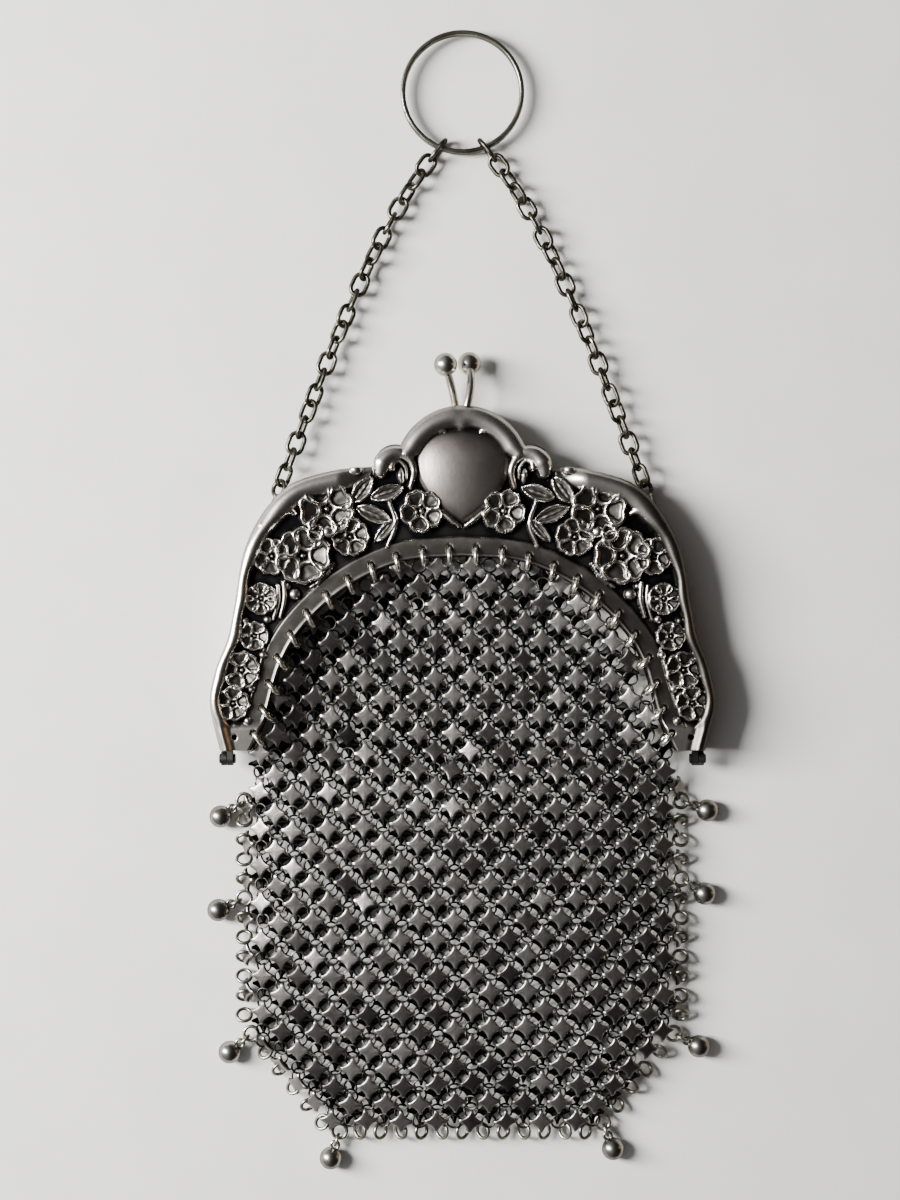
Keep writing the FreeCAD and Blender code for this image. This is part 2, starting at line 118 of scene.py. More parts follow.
# Mesh skin: the star plates, the rings between them, and the pouch outline.
STAR_DX = 2.8
STAR_DY = 2.96
STAR_REACH = 2.06
STAR_TILT = 4.4
STAR_TURN = 4.0
STAR_WEAR_SPREAD = 0.28
RING_R = 1.08
RING_WIRE_R = 0.17
RING_SINK = 0.58
RING_TILT = 12.0
RING_TURN = 10.0
RING_WEAR = 0.23
RING_WEAR_SPREAD = 0.35
SKIN_ROWS = 34
SKIN_HALF_COLUMNS = 14
PLATE_JITTER = 0.06
BACK_SHIFT_Y = 1.11
POUCH_TOP_Y = -29.6
POUCH_CORNER_Y = -68.0
POUCH_BOTTOM_Y = -84.8
POUCH_HALF_WIDTH = 34.6
POUCH_BOTTOM_HALF_WIDTH = 21.2
NECK_HALF_WIDTH = 33.4
NECK_TOP_Y = -24.5
EDGE_Z = 1.8
MESH_TOP_Z = 5.95
MESH_SAG = 1.1
BACK_LOW_Z = 0.55
BACK_LIFT = 1.9

# Studio, in metres: a window on the left, a small warm glow on the right, and a sky that is
# dark on the right and bright on the left.
WINDOW_PLACE, WINDOW_SIZE, WINDOW_POWER = (-0.42, 0.07, 0.33), (0.16, 0.34), 14.0
WARM_PLACE, WARM_SIZE, WARM_POWER = (0.55, 0.05, 0.12), (0.05, 0.1), 0.14
SKY_STOPS = [(0.0, (0.035, 0.03, 0.026)), (0.38, (0.06, 0.056, 0.052)), (0.5, (0.22, 0.22, 0.225)),
             (0.64, (0.62, 0.63, 0.65)), (1.0, (1.0, 1.0, 1.0))]
SKY_LEAN_X, SKY_LEAN_Y = -0.95, 0.08
SKY_STRENGTH = 0.62
FLOOR_HALF_WIDTH = 2.5
CAMERA_PLACE = (-0.002, 0.0001, 0.334)
CAMERA_ANGLE = 32.4


# ---------------------------------------------------------------- small tools

def mesh_piece(name, points, faces, smooth=True):
    """A mesh object from points in millimetres."""
    mesh = bpy.data.meshes.new(name)
    mesh.from_pydata((np.asarray(points, float) * MM).tolist(), [], faces)
    mesh.validate()
    mesh.update()
    if smooth:
        mesh.shade_smooth()
    piece = bpy.data.objects.new(name, mesh)
    bpy.context.collection.objects.link(piece)
    return piece


def paint(piece, name, values):
    """Stores one number per point for the piece's material."""
    layer = piece.data.attributes.new(name, "FLOAT", "POINT")
    layer.data.foreach_set("value", np.asarray(values, np.float32))


def smoothstep(value, low, high):
    share = np.clip((value - low) / (high - low), 0.0, 1.0)
    return share * share * (3.0 - 2.0 * share)


def curve_through(points, steps):
    """Catmull-Rom points on a smooth curve through the given ones."""
    p = np.array(points, float)
    p = np.vstack([2 * p[0] - p[1], p, 2 * p[-1] - p[-2]])
    t = np.linspace(0.0, 1.0, steps, endpoint=False)[:, None]
    parts = []
    for i in range(1, len(p) - 2):
        a, b, c, d = p[i - 1], p[i], p[i + 1], p[i + 2]
        parts.append(0.5 * (2 * b + (c - a) * t + (2 * a - 5 * b + 4 * c - d) * t ** 2
                            + (3 * b - a - 3 * c + d) * t ** 3))
    parts.append(p[-2:-1])
    return np.vstack(parts)


def resampled(points, shares):
    """Points at the given shares of an open outline's length."""
    step = np.hypot(*np.diff(points, axis=0).T)
    along = np.concatenate([[0.0], np.cumsum(step)])
    at = np.asarray(shares) * along[-1]
    return np.column_stack([np.interp(at, along, points[:, k]) for k in (0, 1)])


def share_of(points, target):
    """The share of an outline's length at which it passes nearest to a point."""
    step = np.hypot(*np.diff(points, axis=0).T)
    along = np.concatenate([[0.0], np.cumsum(step)])
    nearest = np.argmin(np.hypot(points[:, 0] - target[0], points[:, 1] - target[1]))
    return along[nearest] / along[-1]


def distance_to(x, y, outline):
    """Distance of each point to a dense outline."""
    result = np.empty(len(x))
    block = 4000
    for i in range(0, len(x), block):
        dx = x[i:i + block, None] - outline[None, :, 0]
        dy = y[i:i + block, None] - outline[None, :, 1]
        result[i:i + block] = np.sqrt((dx * dx + dy * dy).min(axis=1))
    return result


# ---------------------------------------------------------------- materials

def principled(name):
    material = bpy.data.materials.new(name)
    material.use_nodes = True
    nodes = material.node_tree.nodes
    return material, nodes, material.node_tree.links, nodes["Principled BSDF"]


def ramp(nodes, stops):
    node = nodes.new("ShaderNodeValToRGB")
    elements = node.color_ramp.elements
    while len(elements) < len(stops):
        elements.new(0.5)
    for element, (at, colour) in zip(elements, stops):
        element.position = at
        element.color = (*colour, 1.0)
    return node


def noise(nodes, links, scale, detail=4.0, roughness=0.55):
    place = nodes.new("ShaderNodeTexCoord")
    node = nodes.new("ShaderNodeTexNoise")
    node.inputs["Scale"].default_value = scale
    node.inputs["Detail"].default_value = detail
    node.inputs["Roughness"].default_value = roughness
    links.new(place.outputs["Object"], node.inputs["Vector"])
    return node


def maths(nodes, links, operation, first, second):
    node = nodes.new("ShaderNodeMath")
    node.operation = operation
    for socket, value in zip(node.inputs, (first, second)):
        if isinstance(value, (int, float)):
            socket.default_value = value
        else:
            links.new(value, socket)
    return node.outputs[0]


def silver(name, dark, mid, bright, roughness=(0.5, 0.24), edge_tint=0.45, even=None,
           blotch_scale=260.0, blotch=0.35, bump=0.12, bump_scale=2600.0):
    """Aged silver. Wear runs from black oxide at 0 to polished metal at 1.

    The wear comes from a number painted on the mesh, or is even, with a little more on the edges. On
    the frame, the cartouche and the front star plates that painted number also holds painted shade.
    Noise breaks it up, and fine scratches and pits go to the bump."""
    material, nodes, links, shader = principled(name)
    shader.inputs["Specular Tint"].default_value = (edge_tint, edge_tint, edge_tint * 0.95, 1.0)
    if even is None:
        # the painted number: real wear, plus painted shade on some pieces
        painted = nodes.new("ShaderNodeAttribute")
        painted.attribute_name = "wear_and_shade"
        wear_and_shade = painted.outputs["Fac"]
    else:
        geometry = nodes.new("ShaderNodeNewGeometry")
        edges = maths(nodes, links, "SUBTRACT", geometry.outputs["Pointiness"], 0.5)
        wear_and_shade = maths(nodes, links, "ADD", edges, even)
    blotches = noise(nodes, links, blotch_scale)
    lift = maths(nodes, links, "MULTIPLY",
                 maths(nodes, links, "SUBTRACT", blotches.outputs["Fac"], 0.5), 2.0 * blotch)
    wear_and_shade = maths(nodes, links, "MULTIPLY", wear_and_shade, maths(nodes, links, "ADD", lift, 1.0))
    colours = ramp(nodes, [(0.0, dark), (0.3, mid), (0.62, bright),
                           (1.0, tuple(min(1.0, c * 1.12) for c in bright))])
    links.new(wear_and_shade, colours.inputs["Fac"])
    links.new(colours.outputs["Color"], shader.inputs["Base Color"])
    shader.inputs["Metallic"].default_value = 1.0
    polish = nodes.new("ShaderNodeMapRange")
    polish.inputs["To Min"].default_value = roughness[0]
    polish.inputs["To Max"].default_value = roughness[1]
    links.new(wear_and_shade, polish.inputs["Value"])
    links.new(polish.outputs["Result"], shader.inputs["Roughness"])
    pits = noise(nodes, links, bump_scale, detail=6.0, roughness=0.6)
    dents = noise(nodes, links, bump_scale * 0.16, detail=2.0)
    relief = maths(nodes, links, "ADD", pits.outputs["Fac"],
                   maths(nodes, links, "MULTIPLY", dents.outputs["Fac"], 2.0))
    rough = nodes.new("ShaderNodeBump")
    rough.inputs["Strength"].default_value = bump
    rough.inputs["Distance"].default_value = 0.0001
    links.new(relief, rough.inputs["Height"])
    links.new(rough.outputs["Normal"], shader.inputs["Normal"])
    return material


def floor_material():
    material, nodes, links, shader = principled("pale_floor")
    speckle = noise(nodes, links, 60.0)
    colours = ramp(nodes, [(0.3, (0.60, 0.60, 0.575)), (0.7, (0.64, 0.64, 0.615))])
    links.new(speckle.outputs["Fac"], colours.inputs["Fac"])
    links.new(colours.outputs["Color"], shader.inputs["Base Color"])
    shader.inputs["Roughness"].default_value = 0.85
    return material


def make_materials():
    oxide = (0.01, 0.01, 0.01)
    return {
        "frame": silver("aged_frame_silver", (0.006, 0.006, 0.007), (0.085, 0.078, 0.07),
                        (0.52, 0.495, 0.46), roughness=(0.4, 0.2), blotch=0.35, bump=0.12),
        "cartouche": silver("cartouche_silver_satin", (0.02, 0.018, 0.017), (0.14, 0.122, 0.113),
                            (0.40, 0.36, 0.335), roughness=(0.4, 0.24), blotch=0.4, bump=0.14),
        "star": silver("star_plate_silver", oxide, (0.09, 0.083, 0.078), (0.35, 0.33, 0.313),
                       roughness=(0.42, 0.25), edge_tint=0.6, blotch=0.5, bump=0.22,
                       blotch_scale=420.0),
        "ring_wire": silver("mesh_ring_wire", oxide, (0.05, 0.047, 0.041), (0.30, 0.286, 0.26),
                            roughness=(0.4, 0.2), blotch=0.5),
        "wire": silver("loop_wire_silver", (0.05, 0.047, 0.04), (0.30, 0.285, 0.25),
                       (0.78, 0.75, 0.68), roughness=(0.34, 0.18), even=0.62, blotch=0.45),
        "edge_wire": silver("edge_ring_wire", (0.012, 0.012, 0.01), (0.15, 0.145, 0.12),
                            (0.56, 0.54, 0.47), roughness=(0.38, 0.2), even=0.34, blotch=0.8),
        "chain": silver("chain_oxide_silver", (0.01, 0.01, 0.008), (0.08, 0.076, 0.062),
                        (0.46, 0.44, 0.37), roughness=(0.4, 0.2), edge_tint=0.3, even=0.27,
                        blotch=1.0, blotch_scale=520.0),
        "finger": silver("finger_ring_silver", (0.016, 0.016, 0.013), (0.10, 0.096, 0.078),
                         (0.42, 0.405, 0.345), roughness=(0.34, 0.17), edge_tint=0.35, even=0.36,
                         blotch=0.6),
        "ball": silver("ball_drop_silver", (0.02, 0.02, 0.017), (0.15, 0.146, 0.13),
                       (0.46, 0.45, 0.41), roughness=(0.34, 0.17), edge_tint=0.4, even=0.36,
                       blotch=0.7),
        "clasp": silver("clasp_silver", (0.03, 0.03, 0.025), (0.22, 0.21, 0.185),
                        (0.62, 0.6, 0.55), roughness=(0.32, 0.16), edge_tint=0.45, even=0.42,
                        blotch=0.6),
        "lug": silver("hinge_oxide_silver", (0.01, 0.01, 0.009), (0.06, 0.056, 0.05),
                      (0.3, 0.285, 0.26), roughness=(0.42, 0.22), edge_tint=0.3, even=0.25,
                      blotch=0.8),
    }


# ---------------------------------------------------------------- relief of a frame half

class Relief:
    """Heights of a frame half over scattered points, built up by stamping shapes on them."""

    def __init__(self, x, y, z):
        self.x, self.y, self.z = x, y, z

    def near(self, cx, cy, reach):
        return np.flatnonzero((np.abs(self.x - cx) < reach) & (np.abs(self.y - cy) < reach))

    def raise_to(self, pick, height):
        self.z[pick] = np.maximum(self.z[pick], height)

    def bead(self, cx, cy, radius, top, squash=1.0):
        pick = self.near(cx, cy, radius * 1.5)
        d = np.hypot(self.x[pick] - cx, (self.y[pick] - cy) / squash) / radius
        rise = radius * np.sqrt(np.clip(1.0 - d ** 2, 0.0, 1.0))
        self.raise_to(pick, np.where(d < 1.0, top - radius + rise, UNTOUCHED_Z))

    def ridge(self, path, radii, tops):
        """A round-topped wire along a smooth path, with a radius and a top height at each point."""
        route = curve_through(path, 14)
        count = len(route)
        knots = np.linspace(0.0, 1.0, len(path))
        share = np.linspace(0.0, 1.0, count)
        radius = np.interp(share, knots, radii)
        top = np.interp(share, knots, tops)
        middle = route.mean(axis=0)
        reach = np.abs(route - middle).max() + max(radii) * 1.2
        pick = self.near(middle[0], middle[1], reach)
        px, py = self.x[pick], self.y[pick]
        best = np.full(len(pick), UNTOUCHED_Z)
        for (rx, ry), r, t in zip(route, radius, top):
            d = np.hypot(px - rx, py - ry) / r
            rise = t - r * 0.9 * (1.0 - np.sqrt(np.clip(1 - d * d, 0, 1)))
            best = np.maximum(best, np.where(d < 1.0, rise, UNTOUCHED_Z))
        self.raise_to(pick, best)

    def petal(self, cx, cy, angle, length, width, top, floor, notch=0.0, rim=0.17, veins=0.012):
        """A cupped petal that starts near (cx, cy): a low hollow in a thick rolled rim."""
        heading = math.radians(angle)
        pick = self.near(cx + math.cos(heading) * length * 0.5,
                         cy + math.sin(heading) * length * 0.5, length * 1.15)
        dx, dy = self.x[pick] - cx, self.y[pick] - cy
        u = (dx * math.cos(heading) + dy * math.sin(heading)) / length
        v = (-dx * math.sin(heading) + dy * math.cos(heading)) / (width * 0.5)
        reach = 0.5 - notch * np.exp(-(v / 0.35) ** 2) * (u > 0.5)
        broad = 0.62 + 0.38 * smoothstep(u, 0.0, 0.55)
        d = np.sqrt(((u - 0.5) / reach) ** 2 + (v / broad) ** 2)
        crest = 1.0 - rim
        bowl = floor + (top - floor) * (0.18 + 0.5 * np.clip(u, 0.0, 1.0) ** 1.3)
        inside = bowl + (top - bowl) * smoothstep(d, 0.5, crest) ** 1.7
        inside += veins * np.cos(9.0 * np.arctan2(v, u + 0.25)) * smoothstep(u, 0.1, 0.5)
        outside = top - rim * width * 0.5 * (1 - np.sqrt(np.clip(1 - ((d - crest) / rim) ** 2, 0, 1)))
        height = np.where(d < crest, inside, np.where(d < 1.0, outside, UNTOUCHED_Z))
        rising = 1.0 - 0.55 * smoothstep(0.3 - u, 0.0, 0.3)
        self.raise_to(pick, np.where(height > 0, floor + (height - floor) * rising, UNTOUCHED_Z))

    def flower(self, cx, cy, radius, turn, top, floor, petals=5, notch=0.14, fullness=1.0,
               stamens=10):
        """Petals round a ring of stamens, or round a single bead if there are none."""
        for i in range(petals):
            angle = turn + 360.0 / petals * i
            start = radius * 0.16
            self.petal(cx + math.cos(math.radians(angle)) * start,
                       cy + math.sin(math.radians(angle)) * start, angle, radius * 0.88,
                       radius * 1.16 * fullness, top - 0.1 * (i % 2), floor, notch=notch)
        if stamens:
            for i in range(stamens):
                angle = math.tau * i / stamens
                self.bead(cx + math.cos(angle) * radius * 0.24, cy + math.sin(angle) * radius * 0.24,
                          radius * 0.065, floor + 0.55)
            self.bead(cx, cy, radius * 0.1, floor + 0.5)
        else:
            self.bead(cx, cy, radius * 0.14, floor + 0.75)

    def leaf(self, start, end, width, top, floor):
        """A pointed leaf with a raised edge, a fold along its middle and slanting veins."""
        sx, sy = start
        length = math.hypot(end[0] - sx, end[1] - sy)
        ux, uy = (end[0] - sx) / length, (end[1] - sy) / length
        pick = self.near((sx + end[0]) / 2, (sy + end[1]) / 2, length * 0.7)
        dx, dy = self.x[pick] - sx, self.y[pick] - sy
        u = (dx * ux + dy * uy) / length
        v = (-dx * uy + dy * ux) / (width * 0.5)
        half = np.sin(np.pi * np.clip(u, 0.0, 1.0)) ** 0.75
        d = np.abs(v) / np.maximum(half, 1e-3)
        body = floor + (top - floor) * (0.42 + 0.58 * smoothstep(d, 0.1, 0.82) ** 1.5)
        body -= 0.5 * (top - floor) * smoothstep(d, 0.84, 1.0) ** 2
        body += 0.3 * np.exp(-(v / 0.13) ** 2) * smoothstep(u, 0.05, 0.3) * smoothstep(-u, -0.95, -0.6)
        body += 0.02 * np.cos(30.0 * (u - 0.3 * np.abs(v)))
        self.raise_to(pick, np.where((u > 0) & (u < 1) & (d < 1), body, UNTOUCHED_Z))


def frame_outline():
    """The outer outline from the right foot over the arch to the left foot."""
    side = curve_through(OUTER_SIDE, 40)
    gap = math.hypot(SCROLL_X, SCROLL_Y - ARCH_Y)
    lean = math.atan2(SCROLL_Y - ARCH_Y, SCROLL_X)
    meet = lean + math.acos((ARCH_OUTER_R ** 2 + gap ** 2 - SCROLL_R ** 2) / (2 * ARCH_OUTER_R * gap))
    meet_x = ARCH_OUTER_R * math.cos(meet)
    meet_y = ARCH_Y + ARCH_OUTER_R * math.sin(meet)
    scroll_end = math.atan2(meet_y - SCROLL_Y, meet_x - SCROLL_X)
    turn = np.linspace(0.05, scroll_end, 30)[:-1]
    scroll = np.column_stack([SCROLL_X + SCROLL_R * np.cos(turn), SCROLL_Y + SCROLL_R * np.sin(turn)])
    sweep = np.linspace(meet, math.pi / 2, 60)
    arch = np.column_stack([ARCH_OUTER_R * np.cos(sweep), ARCH_Y + ARCH_OUTER_R * np.sin(sweep)])
    right = np.vstack([side, scroll, arch])
    left = right[-2::-1] * (-1, 1)
    return np.vstack([right, left])


def mouth_outline():
    side = curve_through(MOUTH_SIDE, 40)
    side = side[side[:, 1] >= FOOT_Y]
    foot = [[np.interp(FOOT_Y, [-25.5, -19.0], [34.4, 31.4]), FOOT_Y]]
    right = np.vstack([foot, side])
    return np.vstack([right, right[-2::-1] * (-1, 1)])


def rulings(outer, mouth):
    """Matching points on the outer outline and the mouth edge, one pair for each column."""
    pairs = [((35.8, 0.9), (28.2, -8.8)), ((33.4, 10.8), (23.2, -1.9)), ((20.5, 20.6), (14.6, 4.3)),
             ((14.1, 21.3), (10.6, 5.8)), ((9.9, 24.7), (7.4, 6.6)), ((0.0, 31.0), (0.0, 7.1))]
    on_outer = [0.0] + [share_of(outer, a) for a, b in pairs]
    on_mouth = [0.0] + [share_of(mouth, b) for a, b in pairs]
    on_outer += [1.0 - s for s in on_outer[-2::-1]]
    on_mouth += [1.0 - s for s in on_mouth[-2::-1]]
    shares = np.linspace(0.0, 1.0, COLUMNS)
    return resampled(outer, shares), resampled(mouth, np.interp(shares, on_outer, on_mouth))


def stamp_side(relief, side):
    """The wild roses, leaves, buds and scroll of one side. Side is 1 on the right, -1 on the left."""
    floor = RECESS_Z

    def flower(x, y, radius, turn, top, **more):
        if side < 0:
            turn = 180.0 - turn
        relief.flower(side * x, y, radius, turn, top, floor + 0.12, **more)

    def petal(x, y, angle, length, width, top, **more):
        if side < 0:
            angle = 180.0 - angle
        relief.petal(side * x, y, angle, length, width, top, floor + 0.1, **more)

    def leaf(start, end, width, top=7.75):
        relief.leaf((side * start[0], start[1]), (side * end[0], end[1]), width, top, floor + 0.2)

    def ridge(path, radii, tops):
        relief.ridge([(side * x, y) for x, y in path], radii, tops)

    def bead(x, y, radius, top, squash=1.0):
        relief.bead(side * x, y, radius, top, squash)

    # Two large roses, the blooms that peep out below and beside them and the bud between them.
    flower(17.8, 10.1, 3.1, 20.0, 7.7, stamens=8, notch=0.1)
    flower(30.2, 7.0, 3.0, 60.0, 7.75, stamens=5, notch=0.12)
    flower(21.5, 14.5, 4.5, 66.0, 8.15, stamens=11)
    flower(25.3, 7.1, 4.6, 106.0, 8.15, stamens=11)
    petal(22.4, 12.2, -62.0, 3.3, 2.9, 8.3, rim=0.3)
    bead(21.4, 10.9, 0.95, 8.2)
    bead(22.6, 9.6, 0.6, 8.0)
    # Small blooms down the side, shoulder to shoulder, with lobed rims.
    flower(31.9, 0.3, 2.5, 90.0, 7.8, petals=6, stamens=6, notch=0.0)
    flower(33.0, -5.6, 2.35, 40.0, 7.75, stamens=5, notch=0.1)
    flower(35.0, -11.0, 3.05, 80.0, 8.0, stamens=6, notch=0.12)
    flower(36.4, -16.3, 2.75, 95.0, 7.95, stamens=5, notch=0.1)
    for x, y in ((34.4, -3.2), (30.9, -3.0), (31.6, -8.6), (36.9, -7.6), (33.4, -14.0), (34.0, -19.0)):
        bead(x, y, 0.62, 7.6)
    # Berry and upright stems below the lower rose.
    bead(26.6, 1.0, 1.0, 7.5)
    bead(27.7, 2.3, 0.55, 7.3)
    ridge([(28.3, 2.9), (28.2, 0.2), (28.9, -2.6)], [0.34, 0.4, 0.26], [7.5, 7.45, 7.2])
    ridge([(29.3, 2.4), (29.2, 0.0), (30.0, -3.0)], [0.3, 0.36, 0.24], [7.4, 7.35, 7.1])
    ridge([(31.4, -7.6), (32.6, -12.4), (34.0, -17.0)], [0.28, 0.3, 0.22], [7.25, 7.25, 7.15])
    ridge([(24.0, 2.2), (22.0, 3.6), (20.4, 5.9)], [0.26, 0.32, 0.24], [7.2, 7.3, 7.2])
    # The rose beside the cartouche has thick rolled petals round one bead.
    flower(6.5, 14.2, 3.5, 62.0, 8.0, fullness=0.84, stamens=0, notch=0.08)
    # Leaves between the roses and the scroll.
    leaf((17.5, 15.4), (14.3, 19.6), 2.9)
    leaf((14.7, 16.2), (9.3, 17.9), 2.7)
    leaf((16.9, 14.9), (11.3, 12.5), 2.7)
    leaf((14.0, 9.2), (10.6, 13.0), 1.8, 7.6)
    # Stems towards the tip of the cartouche.
    ridge([(3.2, 14.0), (1.9, 12.9), (0.5, 11.9)], [0.42, 0.46, 0.3], [7.7, 7.7, 7.4])
    ridge([(11.6, 15.6), (10.6, 12.2), (11.9, 8.7)], [0.34, 0.42, 0.3], [7.5, 7.5, 7.2])
    # Beads on the shoulder, and the tongues of the rim that curl into the recess.
    bead(16.9, 20.7, 1.15, 8.1, 0.8)
    bead(19.3, 19.2, 0.75, 7.9)
    ridge([(26.0, 17.0), (22.6, 18.4), (19.8, 18.8), (19.2, 18.0)], [0.5, 0.5, 0.4, 0.26],
          [8.1, 7.9, 7.7, 7.3])
    ridge([(31.6, 11.8), (29.6, 13.6), (27.6, 14.2), (26.6, 13.8)], [0.9, 0.85, 0.6, 0.35],
          [8.3, 8.2, 8.0, 7.6])
    # The scroll: a fat comma that curls over a hollow with a bud in it.
    ridge([(13.0, 20.3), (12.6, 21.9), (11.4, 23.1), (9.7, 23.3), (8.3, 22.2), (7.7, 20.3),
           (8.3, 17.9)],
          [1.0, 1.55, 1.25, 0.9, 0.62, 0.5, 0.34], [8.0, 8.4, 8.3, 8.15, 8.0, 7.9, 7.4])
    ridge([(11.2, 21.0), (10.9, 21.9), (9.9, 22.1), (9.0, 21.0), (8.9, 19.3)],
          [0.5, 0.36, 0.3, 0.26, 0.2], [8.1, 7.9, 7.7, 7.5, 7.2])
    ridge([(9.8, 20.7), (9.8, 19.8), (9.6, 18.9)], [0.3, 0.55, 0.36], [7.4, 7.7, 7.4])


def frame_heights(x, y, outer, mouth, holes):
    """Height of the embossed front over each point, and how far the point lies outside the painted
    shade of the loop holes.
    """
    from_rim = distance_to(x, y, outer)
    from_mouth = distance_to(x, y, resampled(mouth, np.linspace(0, 1, 900)))
    off_flange = smoothstep(from_mouth, FLANGE_WIDTH - FLANGE_STEP_WIDTH, FLANGE_WIDTH)
    z = RECESS_Z + (FLANGE_Z - RECESS_Z) * (1.0 - off_flange)
    edge_line = np.exp(-((from_mouth - 0.3) / 0.16) ** 2)
    z += FLANGE_BEAD_Z * edge_line
    relief = Relief(x, y, z)

    # The rolled rim: narrow down the sides, broad on the shoulders, and low beside the scroll.
    on_sides = ~((np.hypot(x, y - ARCH_Y) < 14.6) & (y > 18.2)) | (np.abs(x) > 14.6)
    broadening = SHOULDER_RIM_HALF_WIDTH - SIDE_RIM_HALF_WIDTH
    half = SIDE_RIM_HALF_WIDTH + broadening * smoothstep(y, 3.0, 14.0)
    half = half * (1.0 + 0.08 * np.sin(y * 1.1 + np.abs(x) * 0.4)) + 0.5 * smoothstep(-y, 17.5, 20.5)
    d = np.abs(from_rim - half) / half
    roll = RIM_TOP_Z - half * 1.05 * (1.0 - np.sqrt(np.clip(1.0 - d ** 2, 0.0, 1.0)))
    roll -= RIM_DIP_AT_SCROLL * (1.0 - smoothstep(np.abs(x), 15.4, 20.0))
    on_rim = np.flatnonzero(on_sides & (d < 1.0))
    relief.raise_to(on_rim, roll[on_rim])

    for side in (1, -1):
        stamp_side(relief, side)

    # The smooth arch over the cartouche, with a small cusp and two hooks on its inner edge.
    arch_side = (np.abs(x) < 10.6) & (y > ARCH_Y)
    from_centre = np.hypot(x, y - ARCH_Y)
    turn = np.arctan2(y - ARCH_Y, np.abs(x))
    ends = smoothstep(turn, 0.28, 0.5)
    tube_r = ARCH_TUBE_R * (0.75 + 0.25 * ends) + 0.3 * np.exp(-((turn - math.pi / 2) / 0.12) ** 2)
    middle_r = ARCH_OUTER_R - tube_r
    d = np.abs(from_centre - middle_r) / tube_r
    arch = ARCH_TOP_Z - tube_r * (1.0 - np.sqrt(np.clip(1.0 - d ** 2, 0.0, 1.0)))
    pick = np.flatnonzero(arch_side & (d < 1.0) & (turn > 0.3))
    relief.raise_to(pick, arch[pick])
    for side in (1, -1):
        relief.ridge([(side * 6.3, 25.2), (side * 4.6, 26.5), (side * 3.0, 26.7), (side * 2.7, 26.1)],
                     [0.34, 0.3, 0.3, 0.22], [7.9, 7.8, 7.7, 7.4])

    # The flat foot tab with its small hole.
    tab = smoothstep(-y, 18.6, 20.4) * smoothstep(from_mouth, 0.0, 0.5) * smoothstep(from_rim, 0.9, 2.6)
    relief.z = relief.z * (1.0 - tab) + FOOT_TAB_Z * tab
    for side in (1, -1):
        near_hole = np.hypot(x - side * FOOT_HOLE_X, y - FOOT_HOLE_Y)
        relief.z -= 1.0 * (1.0 - smoothstep(near_hole, 0.3, 0.5))

    # Dents where the wire loops pass through the flange, painted black inside as painted shade in the
    # holes.
    outside_hole_shade = np.ones(len(x))
    for hx, hy in holes:
        near_hole = np.hypot(x - hx, y - hy)
        relief.z -= LOOP_DENT_DEPTH * (1.0 - smoothstep(near_hole, LOOP_DENT_R, 0.56))
        outside_hole_shade = np.minimum(outside_hole_shade, smoothstep(near_hole, 0.4, 0.7))
    return relief.z, outside_hole_shade


def blurred(grid, passes):
    """A grid of heights after repeated averaging with its neighbours."""
    result = grid.copy()
    for _ in range(passes):
        padded = np.pad(result, 1, mode="edge")
        result = (padded[:-2, 1:-1] + padded[2:, 1:-1] + padded[1:-1, :-2] + padded[1:-1, 2:]
                  + 2.0 * result) / 6.0
    return result


def loop_places(node):
    """Points of the wire loops of a CAD node, in millimetres, one group for each loop."""
    mesh = frame["nodes"][node].data
    points = np.empty(len(mesh.vertices) * 3)
    mesh.vertices.foreach_get("co", points)
    points = points.reshape(-1, 3) / MM
    return points.reshape(LOOP_COUNT, -1, 3)


